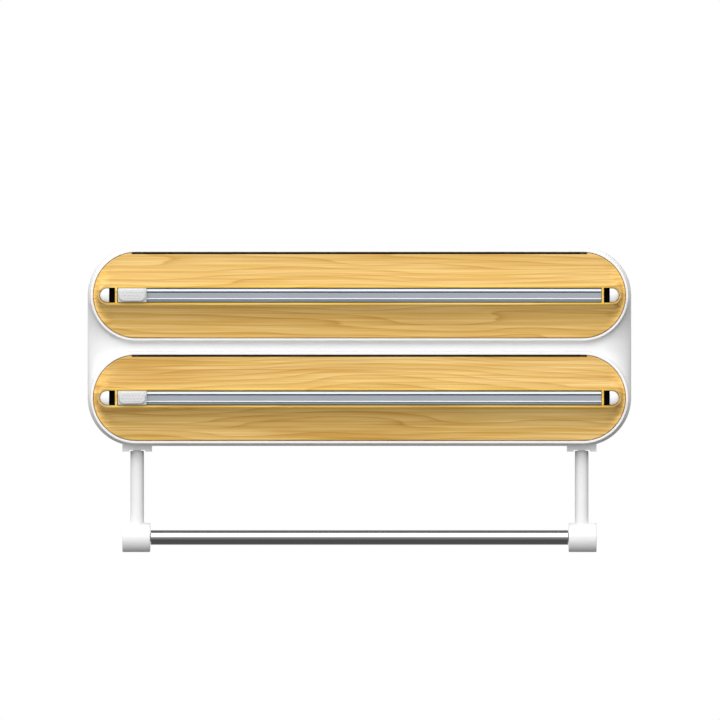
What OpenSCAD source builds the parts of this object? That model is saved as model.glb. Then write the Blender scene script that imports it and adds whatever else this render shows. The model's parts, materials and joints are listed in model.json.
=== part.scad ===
// Wall dispenser for two rolls of foil or wrap, with slide cutters and a bar for kitchen paper.
// Every piece is drawn on the wall: x to the right, y up, z out from the wall.
// stand_up() then turns it, so that the wall is the plane y = 0, the front is -y and z is up.

/* [Shell] */
// Width of each panel opening
opening_w = 372.4; // [350:0.1:400]
// Height of each panel opening
opening_h = 60; // [58:0.1:66]
// Thickness of the rim around each panel
rim_w = 1.75; // [1.5:0.05:3]
// Gap between the two raised bays
valley_w = 8.5; // [6:0.1:16]
// How far the shell swells out behind the rims
flare = 1.75; // [1.2:0.05:4]
// How far the shell's sides bow out between the bays
side_bow = 0.8; // [0.1:0.1:2]
// Depth from the wall to the rims
body_d = 76; // [74:0.5:90]
// How far the bays stand out of the shell
bay_rise = 5; // [4.5:0.5:10]
// How deep the shell's front edge is rounded
shoulder_round = 10; // [6:0.5:14]
// How far in from the shell's ends that rounding starts
side_soft = 21; // [6:0.5:26]

/* [Back plate] */
// Thickness of the back plate
plate_t = 3; // [2.5:0.1:5]
// Lip of the shell around the back plate
plate_lip = 1.9; // [1.4:0.1:2.4]
// Play between the back plate and the lip
plate_gap = 0.2; // [0.1:0.05:0.4]
// Diameter of the four wall screw holes
wall_hole_d = 5; // [4:0.1:7]
// Distance across between the wall screw holes
wall_hole_dx = 220; // [150:1:260]
// Shank diameter of the back plate's screws
plate_screw_d = 2.8; // [2.4:0.1:3.5]
// Length of the back plate's screws under the head
plate_screw_len = 10; // [8:0.5:16]

/* [Roll bays] */
// Room past each end of the roll, for the latches
end_room = 32.2; // [32:0.1:40]
// Thickness of the partition at each end of the roll
partition_t = 3.5; // [2.5:0.1:5]
// Diameter of the idler rollers
roller_d = 9; // [7:0.1:12]
// Distance between the two rollers of a bay
roller_pitch = 26; // [20:0.5:30]
// Height of the rollers over the bay's floor
roller_lift = 1; // [0.5:0.1:3]
// Diameter of the rollers' journals
journal_d = 3; // [2.5:0.1:4]
// Radial play of the journals and of the pivot pins
pin_play = 0.06; // [0.03:0.01:0.1]

/* [Covers] */
// Gap between a cover and its opening
cover_gap = 0.4; // [0.3:0.05:0.8]
// Wall of the cover
cover_wall = 2.2; // [1.8:0.1:3]
// How far the cover's edge reaches behind the rim
cover_skirt = 5; // [4:0.1:7]
// Rounding of the cover's outer edge
cover_edge = 0.8; // [0.4:0.1:1.4]
// How far the nose stands out of the rim
nose_rise = 7.5; // [6:0.1:10]
// Wall of the nose beside the channel
nose_wall = 1.75; // [1.4:0.05:2.5]
// Wall of the nose past the latch caps
end_wall = 1.3; // [1:0.05:2]
// Land between the end of the nose and the cover's edge
end_land = 2.95; // [2:0.05:5]
// How steeply the cove rises to the nose
cove_power = 2.4; // [1.6:0.1:3]
// Length of the film slot along the cover's top edge
film_slot_w = 318; // [280:1:330]
// Height of the film slot
film_slot_h = 1.4; // [1:0.1:3]
// Diameter of the guide pegs behind the cover
peg_d = 4; // [3:0.1:5]
// Length of the guide pegs in their sockets
peg_grip = 12; // [8:0.5:16]

/* [Channel and cutter] */
// Height of the channel in the nose
channel_h = 10.5; // [9.6:0.1:12]
// Depth of the nose's solid core behind the lip
core_d = 9; // [8.4:0.1:10]
// Depth of the rail's seat under the lip
seat_d = 6.5; // [6.2:0.1:7]
// Play beside the rail and the latch caps
channel_play = 0.3; // [0.2:0.05:0.6]
// Height of the rail's main face over its seat
rail_t = 5.4; // [5:0.1:5.8]
// How far the rail's upper lip stands over its main face
rail_lip = 0.5; // [0.3:0.1:0.6]
// Width of the blade slot's mouth
slot_mouth = 1.4; // [1.2:0.05:1.8]
// Width of the blade slot inside
slot_inner = 3.4; // [3:0.1:3.8]
// Length of the slider
slider_len = 20; // [16:0.5:26]
// Thickness of the slider's base
slider_t = 1.6; // [1.2:0.1:2.4]
// Height of the slider's thumb pad
pad_t = 2.5; // [1.5:0.1:4]
// Thickness of the blade
blade_t = 0.3; // [0.2:0.05:0.5]

/* [Latches] */
// Width of the wood bridge between rail and latch
bridge_w = 1.8; // [1.5:0.1:4]
// Length of the black gap that the latch travels in
latch_gap = 3.9; // [3:0.1:5]
// Length of the latch cap
cap_len = 6.4; // [5.8:0.1:8]
// Thickness of the latch slide
slide_t = 2.5; // [2.2:0.1:3.2]
// Half of the latch slide's width
slide_half = 6.2; // [5.8:0.1:6.4]
// Play over and under the latch slide
slide_play = 0.2; // [0.15:0.05:0.3]
// Thickness of the plate that retains the latch slide
retainer_t = 2; // [1.6:0.1:2.6]
// How far the latch hook reaches under its keeper
latch_bite = 1.2; // [0.8:0.1:1.6]
// Thickness of the keeper's spring leaf
leaf_t = 0.6; // [0.4:0.05:0.8]
// Length of the latch spring
spring_len = 10; // [8:0.5:14]
// Wire diameter of the latch spring
spring_wire = 0.4; // [0.3:0.05:0.5]
// Turns of the latch spring
spring_turns = 6; // [5:1:8]

/* [Paper bar] */
// How far the arms stand in from the straight bottom edge's ends
arm_inset = 0.8; // [0:0.1:30]
// Diameter of the arms' posts
post_d = 9.5; // [8:0.1:11]
// Drop from the shell's bottom to the bar's axis
bar_drop = 64; // [50:0.1:90]
// Distance of the arms behind the rims
bar_setback = 20; // [18:0.5:21]
// Outer diameter of the bar
bar_d = 10.3; // [9:0.1:12]
// Wall of the bar's tube
bar_wall = 0.6; // [0.4:0.05:1]
// Diameter of the arms' sockets
socket_d = 20.4; // [18:0.1:24]
// Length of the arms' sockets along the bar
socket_w = 19.5; // [17:0.1:24]
// Gap between the bar's tube and the sockets
bar_end_gap = 0.35; // [0.2:0.05:0.8]
// Width of the arm brackets
bracket_w = 20.6; // [19:0.1:24]
// Depth of the arm brackets, front to back
bracket_d = 20; // [18:0.5:26]
// How far the brackets stand below the shell
bracket_drop = 4; // [3.6:0.1:6]
// Depth of the brackets' recess in the shell
bracket_sink = 1.6; // [1.4:0.1:2]
// Diameter of the arms' pivot pins
pivot_d = 2.5; // [2:0.1:3]
// Shank diameter of the bracket screws
bracket_screw_d = 2.5; // [2:0.1:2.8]

/* [Hidden] */
$fn = 48;
eps = 0.01;
touch = 0.02;
// How far cuts run past a face, then the play at a screw's or pin's end and around a screw
over = 1;
end_play = 0.2;
screw_play = 0.15;
hull_fn = 48;

// Shell outlines
opening_r = opening_h / 2;
opening_half = opening_w / 2;
straight_half = opening_half - opening_r;
bay_pitch = opening_h + 2 * rim_w + valley_w;
pod_r = opening_r + rim_w;
shell_r = pod_r + flare;
shell_half_h = bay_pitch / 2 + shell_r;
shoulder_z = body_d - bay_rise;
pod_draft = flare / 2;
rim_round = 0.5;

// Back plate and its screws, in a row between the bays
plate_r = shell_r - plate_lip - plate_gap;
web_half = bay_pitch / 2 - opening_r;
plate_screws = 6;
plate_screw_pitch = 2 * (straight_half + web_half + opening_r / 2) / (plate_screws - 1);
plate_screw_x = [for (i = [0 : plate_screws - 1]) (i - (plate_screws - 1) / 2) * plate_screw_pitch];
plate_head_d = 2 * plate_screw_d;
plate_head_t = plate_t / 2;
core_wall = 2.6;
screw_boss_half = plate_screw_d / 2 + 2 * core_wall;

// Cover profile
cover_r = opening_r - cover_gap;
cover_half = straight_half + cover_r;
cover_back = body_d - cover_skirt;
lip_z = body_d + nose_rise;
lip_round = 0.4;
cove_rise = nose_rise - lip_round;
channel_r = channel_h / 2;
nose_r = channel_r + nose_wall;
nose_end = cover_half - end_land;
arc_steps = 16;
cove_steps = 8;
inner_steps = 6;

// Places along the channel, from the outer end inwards
pocket_out = nose_end - end_wall;
cap_out = pocket_out - channel_play;
cap_r = channel_r - channel_play;
cap_in = cap_out - cap_len;
pocket_in = cap_in - latch_gap;
rail_pocket_half = pocket_in - bridge_w;
rail_half = rail_pocket_half - channel_play;
rail_half_h = channel_r - channel_play - end_play;

// Depths behind the nose
core_back = lip_z - core_d;
core_margin = 0.3;
seat_z = lip_z - seat_d;
rail_z = seat_z + rail_t;
slide_front = core_back - slide_play;
slide_back = slide_front - slide_t;
retainer_front = slide_back - slide_play;
retainer_back = retainer_front - retainer_t;

// Rail profile
slot_y = rail_half_h - slot_inner / 2 - 0.85;
slot_floor = 1.4;
slot_ceiling = 3.4;
rail_step_y = -rail_half_h / 2;
rail_step_t = 0.9;
rail_screw_d = 2;
rail_screw_y = rail_step_y;
rail_screw_grip = 3;
rail_screw_x = [for (i = [-1 : 1]) i * rail_half * 0.65];

// Slider on the rail
slider_play = 0.2;
slider_z = rail_z + rail_lip + slider_play;
slider_half_h = rail_half_h + 0.15;
slider_left = -rail_half + slider_play;
slider_x = slider_left + slider_len / 2;
slider_travel = 2 * (rail_half - slider_play) - slider_len;
keel_len = slider_len * 0.62;
blade_reach = 2;
pad_len = slider_len - 2.4;
pad_h = slider_half_h * 1.55;
pad_r = pad_h * 0.42;

// Latch and keeper, on the right-hand side
latch_travel = latch_gap - 0.5;
keeper_boss_t = 1.2;
keeper_boss_half = 6;
keeper_face = opening_half - keeper_boss_t;
leaf_face = keeper_face - leaf_t;
hook_play = 0.3;
hook_tip = leaf_face - 0.5;
ledge_tip = hook_tip - latch_bite;
hook_out = ledge_tip - hook_play;
hook_in = hook_out - 2.2;
hook_half = 3.5;
ledge_back = retainer_back - 1.7;
barb_front = ledge_back - hook_play;
barb_len = 2.6;
leaf_half = 4.5;
leaf_len = 9.4;
rivet_r = 1.3;
rivet_head = 0.5;
neck_half = channel_r - 1.65;
neck_in = cap_in + 0.75;
neck_out = cap_out - 0.3;
cap_back = lip_z - 4.9;
cap_dome_r = 9;
cap_proud = 0.9;
cap_peg_r = 1.4;
cap_peg_len = 2;

// Latch spring and its stop
slide_in = pocket_in - latch_travel - 3.4;
spring_in = slide_in - spring_len;
spring_z = (slide_front + slide_back) / 2;
spring_r = (slide_t - spring_wire) / 2 - 0.05;
spring_sides = 6;
spring_rings = 8;
stop_t = 2;
stop_half = 3;
retainer_in = spring_in - stop_t - 1;
retainer_out = hook_in - latch_travel - 0.8;
retainer_half = 12.5;
retainer_screw_d = 2;
retainer_screw_x = slide_in + 2;
retainer_screw_y = slide_half + 3.3;
retainer_boss_r = 2.6;
retainer_boss_top = body_d + 2.6;
retainer_grip = 5;
small_head_r = 1.9;
small_head_t = 1.2;
recess_w = 0.5;

// Partitions, rollers and the cover's guide pegs
partition_in = opening_half - end_room;
partition_out = partition_in + partition_t;
bay_front = retainer_back - 3.6;
roller_y = -opening_r + roller_lift + roller_d / 2;
roller_mid = (plate_t + cover_back) / 2;
roller_end_gap = 0.5;
roller_hub_r = journal_d / 2 + 1.2;
socket_boss_r = peg_d / 2 + 2;
peg_x = partition_out + socket_boss_r - 0.5;
peg_y = opening_r * 0.55;
peg_top = body_d + 0.4;
peg_back = bay_front - peg_grip;

// Arms, brackets and bar, on the right-hand side
arm_x = straight_half - arm_inset;
bar_depth = body_d - bar_setback;
shell_bottom = -shell_half_h;
bay_floor = -bay_pitch / 2 - opening_r;
bracket_top = shell_bottom + bracket_sink;
bracket_bottom = shell_bottom - bracket_drop;
recess_play = 0.1;
pivot_y = bracket_bottom + 2.8;
tang_half = 2.6;
tang_play = 0.25;
slot_in_half = post_d / 2 + 0.55;
slot_out_half = slot_in_half + 0.8;
web_bottom = bracket_bottom + 1.2;
pivot_cover = 1.5;
pivot_back = bar_depth - bracket_d / 2;
pivot_front = bar_depth + bracket_d / 2 - pivot_cover;
post_top = bracket_bottom + 0.3;
bar_y = shell_bottom - bar_drop;
socket_face = arm_x - socket_w / 2;
bar_half = socket_face - bar_end_gap;
stub_r = bar_d / 2 - 2.35;
stub_len = 6;
plug_len = 8;
stub_hole_r = stub_r + 0.8;
stub_hole_rise = 0.5;
stub_hole_depth = stub_len + 0.8;
bracket_screw_x = (slot_out_half + bracket_w / 2) / 2;
bracket_screw_grip = bracket_drop * 0.75;

// Turns a piece drawn on the wall into the upright frame
module stand_up() {
    rotate([90, 0, 0]) children();
}

// Places a piece in the upper bay, level 1, or the lower bay, level -1
module at_bay(level) {
    stand_up() translate([0, level * bay_pitch / 2, 0]) children();
}

// Draws a right-hand piece on the right, side 1, or mirrored on the left, side -1
module on_side(side) {
    if (side > 0) children();
    else mirror([1, 0, 0]) children();
}

module both_sides() {
    for (side = [-1, 1]) on_side(side) children();
}

// Extrudes a profile drawn as (y, z) along x
module along_x(from, to) {
    translate([from, 0, 0]) rotate([90, 0, 90]) linear_extrude(to - from) children();
}

// A box between two corners
module box(low, high) {
    translate(low) cube(high - low);
}

// A round bar along z
module rod_z(x, y, r, from, to) {
    translate([x, y, from]) cylinder(r = r, h = to - from);
}

// A round bar along x
module rod_x(y, z, r, from, to) {
    translate([from, y, z]) rotate([0, 90, 0]) cylinder(r = r, h = to - from);
}

module stadium(half_len, r) {
    square([2 * (half_len - r), 2 * r], center = true);
    for (side = [-1, 1]) translate([side * (half_len - r), 0]) circle(r);
}

// Outline of the shell, drawn in by inset all round and by end_inset at its ends, with its sides bowed
module shell_outline(inset, end_inset = 0) {
    r = shell_r - inset;
    half = straight_half + r - end_inset;
    union() {
        for (level = [-1, 1]) translate([0, level * bay_pitch / 2]) stadium(half, r);
        polygon([
            for (side = [-1, 1]) for (s = [-1 : 0.25 : 1])
                [side * (half + side_bow * (1 - s * s)), side * s * bay_pitch / 2]
        ]);
    }
}

module thin_slab(z) {
    translate([0, 0, z]) linear_extrude(eps) children();
}

module pod_outline(r) {
    stadium(straight_half + r, r, $fn = hull_fn);
}

// Closed outer form: a shell with a rounded shoulder and two raised bays
module shell_form() {
    hull() {
        linear_extrude(shoulder_z - shoulder_round) shell_outline(0, $fn = hull_fn);
        for (a = [18, 36, 54, 72, 90])
            thin_slab(shoulder_z - shoulder_round * (1 - sin(a)) - eps)
                shell_outline(flare * (1 - cos(a)), side_soft * (1 - cos(a)), $fn = hull_fn);
    }
    for (level = [-1, 1]) translate([0, level * bay_pitch / 2, 0]) hull() {
        thin_slab(shoulder_z - shoulder_round) pod_outline(pod_r + pod_draft);
        thin_slab(body_d - rim_round) pod_outline(pod_r);
        thin_slab(body_d - eps) pod_outline(pod_r - rim_round);
    }
}

// What stands in one bay: end partitions, peg sockets and keeper bosses
module bay_fittings() {
    both_sides() {
        difference() {
            union() {
                box([partition_in, -pod_r, plate_t], [partition_out, pod_r, bay_front]);
                for (y = [-peg_y, peg_y]) rod_z(peg_x, y, socket_boss_r, peg_back - 3, bay_front);
                box([keeper_face, -keeper_boss_half, ledge_back - leaf_len - 2],
                    [opening_half + rim_w, keeper_boss_half, ledge_back + leaf_t + 0.5]);
            }
            for (y = [-peg_y, peg_y])
                rod_z(peg_x, y, peg_d / 2 + pin_play, peg_back - over, bay_front + over);
            for (z = [-1, 1])
                rod_x(roller_y, roller_mid + z * roller_pitch / 2, journal_d / 2 + pin_play,
                    partition_in - over, partition_out + over);
        }
    }
}

// The block that a bracket fills, grown by play
module bracket_block(play, bottom) {
    half_w = bracket_w / 2 + play;
    half_d = bracket_d / 2 + play;
    box([arm_x - half_w, bottom, bar_depth - half_d], [arm_x + half_w, bracket_top, bar_depth + half_d]);
}

module housing() color("white") stand_up() difference() {
    union() {
        difference() {
            shell_form();
            for (level = [-1, 1]) translate([0, level * bay_pitch / 2, -over])
                linear_extrude(body_d + 2 * over) stadium(opening_half, opening_r);
        }
        for (level = [-1, 1]) translate([0, level * bay_pitch / 2, 0]) bay_fittings();
    }
    // Recess for the back plate, its screw holes, and the cored web between the bays
    translate([0, 0, -over]) linear_extrude(plate_t + over) shell_outline(plate_lip);
    for (x = plate_screw_x) rod_z(x, 0, plate_screw_d / 2 + touch, plate_t - over, plate_t + plate_screw_len);
    for (i = [0 : plate_screws - 2])
        box([plate_screw_x[i] + screw_boss_half, -web_half + core_wall, plate_t - over],
            [plate_screw_x[i + 1] - screw_boss_half, web_half - core_wall, shoulder_z - 2 * core_wall]);
    // Recesses and screw holes for the arm brackets
    both_sides() {
        bracket_block(recess_play, shell_bottom - over);
        for (x = [-bracket_screw_x, bracket_screw_x]) translate([arm_x + x, bay_floor, bar_depth]) {
            rotate([90, 0, 0]) cylinder(r = bracket_screw_d / 2 + screw_play, h = shell_r - opening_r + over);
            rotate([-90, 0, 0]) cylinder(r = small_head_r + screw_play, h = 2 * small_head_t);
        }
    }
}

module back_plate() color("gainsboro") stand_up() difference() {
    linear_extrude(plate_t) for (level = [-1, 1]) translate([0, level * bay_pitch / 2]) {
        stadium(straight_half + plate_r, plate_r);
        translate([0, -level * bay_pitch / 4])
            square([2 * (straight_half + plate_r), bay_pitch / 2], center = true);
    }
    for (x = [-1, 1]) for (y = [-1, 1])
        rod_z(x * wall_hole_dx / 2, y * bay_pitch / 2, wall_hole_d / 2, -over, plate_t + over);
    for (x = plate_screw_x) {
        rod_z(x, 0, plate_screw_d / 2 + touch, -over, plate_t + over);
        rod_z(x, 0, plate_head_d / 2 + touch, -over, plate_head_t);
    }
}

module back_plate_screws() color("silver") stand_up() for (x = plate_screw_x) difference() {
    union() {
        rod_z(x, 0, plate_head_d / 2, end_play, plate_head_t);
        rod_z(x, 0, plate_screw_d / 2, plate_head_t - eps, plate_head_t + plate_screw_len);
    }
    translate([x, 0, 0]) cross_recess(plate_screw_d, plate_head_t);
}

// One ring of the cover: t runs from the outer edge, 0, to the nose, 1
function cover_ring(t, inset, z) =
    let (half_len = (cover_half - cover_edge) * (1 - t) + nose_end * t - inset)
    let (r = (cover_r - cover_edge) * (1 - t) + nose_r * t - inset)
    [
        for (side = [1, -1]) for (i = [0 : arc_steps])
            let (a = (side > 0 ? -90 : 90) + 180 * i / arc_steps)
            [side * (half_len - r) + r * cos(a), r * sin(a), z]
    ];

function cove_z(t) = body_d + cove_rise * pow(t, cove_power);

// Rings from the lip down the outside, round the back edge and up the inside
cover_rings = concat(
    [cover_ring(1, lip_round, lip_z)],
    [for (i = [cove_steps : -1 : 0]) cover_ring(i / cove_steps, 0, cove_z(i / cove_steps))],
    [for (a = [45, 90]) cover_ring(0, -cover_edge * sin(a), body_d - cover_edge * (1 - cos(a)))],
    [cover_ring(0, -cover_edge, cover_back)],
    [cover_ring(0, cover_wall - cover_edge, cover_back)],
    [for (i = [0 : inner_steps]) let (t = i / inner_steps) cover_ring(t, cover_wall, cove_z(t) - cover_wall)]
);

module ring_solid(rings) {
    n = len(rings[0]);
    last = (len(rings) - 1) * n;
    polyhedron(
        points = [for (ring = rings) for (p = ring) p],
        faces = concat(
            [[for (i = [n - 1 : -1 : 0]) i]],
            [
                for (k = [0 : len(rings) - 2]) for (i = [0 : n - 1]) for (half = [0, 1])
                    let (a = k * n + i, b = k * n + (i + 1) % n)
                    half == 0 ? [a, b, b + n] : [a, b + n, a + n]
            ],
            [[for (i = [0 : n - 1]) last + i]]
        )
    );
}

// The room that a latch slide and its spring need behind the nose
module slide_room() {
    box([slide_in - latch_travel - channel_play, -slide_half - channel_play, cover_back - over],
        [hook_out + channel_play, slide_half + channel_play, core_back]);
}

// A round bar where a retainer's screw goes
module retainer_hole(y, r, from, to) {
    rod_z(retainer_screw_x, y * retainer_screw_y, r, from, to);
}

module cover() color("burlywood") difference() {
    union() {
        ring_solid(cover_rings);
        translate([0, 0, core_back]) linear_extrude(core_d - core_margin)
            stadium(nose_end - core_margin, nose_r - core_margin);
        both_sides() {
            box([spring_in - stop_t, -stop_half, retainer_front], [spring_in, stop_half, core_back + over]);
            for (y = [-1, 1]) {
                retainer_hole(y, retainer_boss_r, retainer_front, retainer_boss_top);
                rod_z(peg_x, y * peg_y, peg_d / 2, peg_back, peg_top);
            }
        }
    }
    // Rail seat, latch pockets and screw holes
    box([-rail_pocket_half, -channel_r, seat_z], [rail_pocket_half, channel_r, lip_z + over]);
    both_sides() {
        slide_room();
        translate([0, 0, core_back - over]) linear_extrude(core_d + 2 * over) {
            translate([pocket_out - channel_r, 0]) circle(channel_r);
            translate([pocket_in, -channel_r]) square([pocket_out - channel_r - pocket_in, 2 * channel_r]);
        }
        for (y = [-1, 1])
            retainer_hole(y, retainer_screw_d / 2 + touch, retainer_front - over,
                retainer_front + retainer_grip);
    }
    rail_holes(core_back - over, seat_z + over);
    // Film slot along the top edge
    box([-film_slot_w / 2, opening_r - film_slot_h, cover_back - over],
        [film_slot_w / 2, opening_r, body_d + over]);
}

module rail_holes(from, to) {
    for (x = rail_screw_x) rod_z(x, rail_screw_y, rail_screw_d / 2 + touch, from, to);
}

module cutter_rail() color("lightsteelblue") difference() {
    along_x(-rail_half, rail_half) translate([0, seat_z]) polygon([
        [-rail_half_h, 0], [rail_half_h, 0], [rail_half_h, rail_t + rail_lip],
        [slot_y + slot_mouth / 2, rail_t + rail_lip], [slot_y + slot_mouth / 2, slot_ceiling],
        [slot_y + slot_inner / 2, slot_ceiling], [slot_y + slot_inner / 2, slot_floor],
        [slot_y - slot_inner / 2, slot_floor], [slot_y - slot_inner / 2, slot_ceiling],
        [slot_y - slot_mouth / 2, slot_ceiling], [slot_y - slot_mouth / 2, rail_t],
        [rail_step_y, rail_t], [rail_step_y - rail_step_t / 3, rail_t - rail_step_t],
        [-rail_half_h, rail_t - rail_step_t]
    ]);
    rail_holes(seat_z - over, seat_z + rail_screw_grip);
}

// A cross recess in a screw's head
module cross_recess(width, depth) {
    for (a = [0, 90]) rotate(a) cube([width, recess_w, depth], center = true);
}

// A small pan-head screw along z, with its head at the back
module pan_screw(x, y, d, head_front, grip) {
    difference() {
        union() {
            rod_z(x, y, small_head_r, head_front - small_head_t, head_front);
            rod_z(x, y, d / 2, head_front - eps, head_front + grip);
        }
        translate([x, y, head_front - small_head_t]) cross_recess(small_head_r * 1.5, small_head_t);
    }
}

module rail_screws() color("silver") {
    grip = seat_z + rail_screw_grip - end_play - core_back;
    for (x = rail_screw_x) pan_screw(x, rail_screw_y, rail_screw_d, core_back, grip);
}

module slider_base() color("whitesmoke") translate([slider_x, 0, 0]) difference() {
    union() {
        box([-slider_len / 2, -slider_half_h, slider_z],
            [slider_len / 2, slider_half_h, slider_z + slider_t]);
        box([-keel_len / 2, slot_y - slot_mouth / 2 + 0.1, seat_z + slot_floor + slider_play],
            [keel_len / 2, slot_y + slot_mouth / 2 - 0.1, slider_z + eps]);
        box([-keel_len / 2, slot_y - slot_inner / 2 + slider_play, seat_z + slot_floor + slider_play],
            [keel_len / 2, slot_y + slot_inner / 2 - slider_play, seat_z + slot_ceiling - slider_play]);
    }
    // Slot for the blade
    box([-slider_len, slot_y - blade_t / 2, seat_z + slot_floor + 2 * slider_play],
        [slider_len, slot_y + blade_t / 2, slider_z]);
}

module slider_pad() color("gainsboro") translate([slider_x, 0, slider_z + slider_t]) {
    linear_extrude(pad_t) difference() {
        square([pad_len, pad_h], center = true);
        for (side = [-1, 1]) difference() {
            translate([side * (pad_len - pad_r) / 2, (pad_r - pad_h) / 2]) square(pad_r, center = true);
            translate([side * (pad_len / 2 - pad_r), pad_r - pad_h / 2]) circle(pad_r);
        }
    }
}

// Blade with a slanted edge at each end, for cutting both ways
module slider_blade() color("silver") {
    low = seat_z + slot_floor + 2 * slider_play;
    translate([slider_x, slot_y + blade_t / 2, 0]) rotate([90, 0, 0]) linear_extrude(blade_t) polygon([
        [-keel_len / 2 - blade_reach, low], [keel_len / 2 + blade_reach, low],
        [keel_len / 2, slider_z], [-keel_len / 2, slider_z]
    ]);
}

// A block with a flat inner end and a full-round outer end
module round_ended(inner, outer, r, from, to) intersection() {
    box([inner, -r, from], [outer, r, to]);
    translate([outer - 2 * r, 0, from]) linear_extrude(to - from) stadium(2 * r, r);
}

module latch_slide() color("black") {
    box([slide_in, -slide_half, slide_back], [hook_out, slide_half, slide_front]);
    round_ended(neck_in, neck_out, neck_half, slide_front - eps, cap_back);
    rod_z((neck_in + neck_out) / 2, 0, cap_peg_r, cap_back - over, cap_back + cap_peg_len);
    box([hook_in, -hook_half, barb_front - barb_len], [hook_out, hook_half, slide_back + eps]);
    box([hook_out - eps, -hook_half, barb_front - barb_len], [hook_tip, hook_half, barb_front]);
}

module latch_cap() color("white") difference() {
    intersection() {
        round_ended(cap_in, cap_out, cap_r, cap_back, lip_z + cap_proud + over);
        translate([cap_out - cap_r, 0, lip_z + cap_proud - cap_dome_r]) sphere(cap_dome_r);
    }
    rod_z((neck_in + neck_out) / 2, 0, cap_peg_r + touch, cap_back - over,
        cap_back + cap_peg_len + end_play);
}

// Points of a helix along x: one ring of wire after another
function spring_point(i) =
    let (turn = i / spring_rings)
    let (run = (spring_len - spring_wire) * turn / spring_turns)
    [spring_in + spring_wire / 2 + run, spring_r * sin(360 * turn), spring_r * cos(360 * turn)];

function spring_ring(i) =
    let (a = 360 * i / spring_rings)
    let (c = spring_point(i))
    [
        for (k = [0 : spring_sides - 1])
            let (b = 360 * k / spring_sides)
            let (out = spring_wire / 2 * cos(b))
            c + [spring_wire / 2 * sin(b), out * sin(a), out * cos(a)]
    ];

spring_count = spring_turns * spring_rings;
spring_gaps = [
    for (i = [0 : spring_count]) for (j = [i + spring_rings / 2 : spring_count])
        norm(spring_point(i) - spring_point(j)) - spring_wire
];
echo(least_gap_between_spring_turns = min(spring_gaps));

module latch_spring() color("dimgray") translate([0, 0, spring_z])
    ring_solid([for (i = [0 : spring_count]) spring_ring(i)]);

module latch_retainers() color("gainsboro") both_sides() difference() {
    box([retainer_in, -retainer_half, retainer_back], [retainer_out, retainer_half, retainer_front]);
    for (y = [-1, 1])
        retainer_hole(y, retainer_screw_d / 2 + touch, retainer_back - over, retainer_front + over);
}

module retainer_screws() color("silver") both_sides() {
    for (y = [-1, 1])
        pan_screw(retainer_screw_x, y * retainer_screw_y, retainer_screw_d, retainer_back,
            retainer_t + retainer_grip - end_play);
}

// Spring leaf on the bay's end wall, with a ledge over the latch hook
module latch_keepers() color("silver") both_sides() {
    box([leaf_face, -leaf_half, ledge_back - leaf_len], [keeper_face, leaf_half, ledge_back + leaf_t]);
    box([ledge_tip, -leaf_half, ledge_back], [leaf_face + eps, leaf_half, ledge_back + leaf_t]);
    rod_x(0, ledge_back - leaf_len + 2 * rivet_r, rivet_r, leaf_face - rivet_head, keeper_face);
}

// Idler roller that the roll lies on: place 1 is in front, place -1 behind
module roller(place) color("whitesmoke") {
    z = roller_mid + place * roller_pitch / 2;
    rod_x(roller_y, z, roller_d / 2, roller_end_gap - partition_in, partition_in - roller_end_gap);
    rod_x(roller_y, z, roller_hub_r, 0.1 - partition_in, partition_in - 0.1);
    rod_x(roller_y, z, journal_d / 2, -partition_out, partition_out);
}

module bracket() color("white") difference() {
    bracket_block(0, bracket_bottom);
    // Slot for the arm, wider at its mouth, then the mouth through the webs in front and behind
    translate([arm_x, 0, bar_depth - post_d / 2 - tang_play]) linear_extrude(post_d + 2 * tang_play) polygon([
        [-slot_out_half, bracket_bottom - eps], [slot_out_half, bracket_bottom - eps],
        [slot_in_half, pivot_y], [slot_in_half, bracket_top + over],
        [-slot_in_half, bracket_top + over], [-slot_in_half, pivot_y]
    ]);
    translate([arm_x, 0, pivot_back - over]) linear_extrude(bracket_d + 2 * over) polygon([
        [-slot_out_half, bracket_bottom - eps], [slot_out_half, bracket_bottom - eps],
        [slot_in_half, web_bottom], [-slot_in_half, web_bottom]
    ]);
    rod_z(arm_x, pivot_y, pivot_d / 2 + touch, pivot_back - over, pivot_front);
    for (x = [-bracket_screw_x, bracket_screw_x])
        translate([arm_x + x, bracket_top + over, bar_depth]) rotate([90, 0, 0])
            cylinder(d = bracket_screw_d + 2 * touch, h = bracket_screw_grip + bracket_sink + over);
}

module bracket_screws() color("silver") stand_up() both_sides() {
    grip = shell_r - opening_r + bracket_screw_grip - end_play;
    for (x = [-bracket_screw_x, bracket_screw_x])
        translate([arm_x + x, bay_floor, bar_depth]) rotate([90, 0, 0])
            pan_screw(0, 0, bracket_screw_d, 0, grip);
}

module arm_pivot_pins() color("silver") stand_up() both_sides()
    rod_z(arm_x, pivot_y, pivot_d / 2, pivot_back + end_play, pivot_front - end_play);

// Arm that swings outwards to free the bar: eye, post and socket in one
module arm() color("white") difference() {
    union() {
        rod_z(arm_x, pivot_y, tang_half, bar_depth - post_d / 2, bar_depth + post_d / 2);
        box([arm_x - tang_half, post_top - over, bar_depth - post_d / 2],
            [arm_x + tang_half, pivot_y, bar_depth + post_d / 2]);
        translate([arm_x, bar_y, bar_depth]) rotate([-90, 0, 0]) cylinder(d = post_d, h = post_top - bar_y);
        rod_x(bar_y, bar_depth, socket_d / 2, arm_x - socket_w / 2, arm_x + socket_w / 2);
    }
    rod_z(arm_x, pivot_y, pivot_d / 2 + pin_play, bar_depth - post_d, bar_depth + post_d);
    rod_x(bar_y + stub_hole_rise, bar_depth, stub_hole_r, socket_face - over, socket_face + stub_hole_depth);
}

module paper_bar() color("silver") stand_up() difference() {
    rod_x(bar_y, bar_depth, bar_d / 2, -bar_half, bar_half);
    rod_x(bar_y, bar_depth, bar_d / 2 - bar_wall, -bar_half - over, bar_half + over);
}

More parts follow.
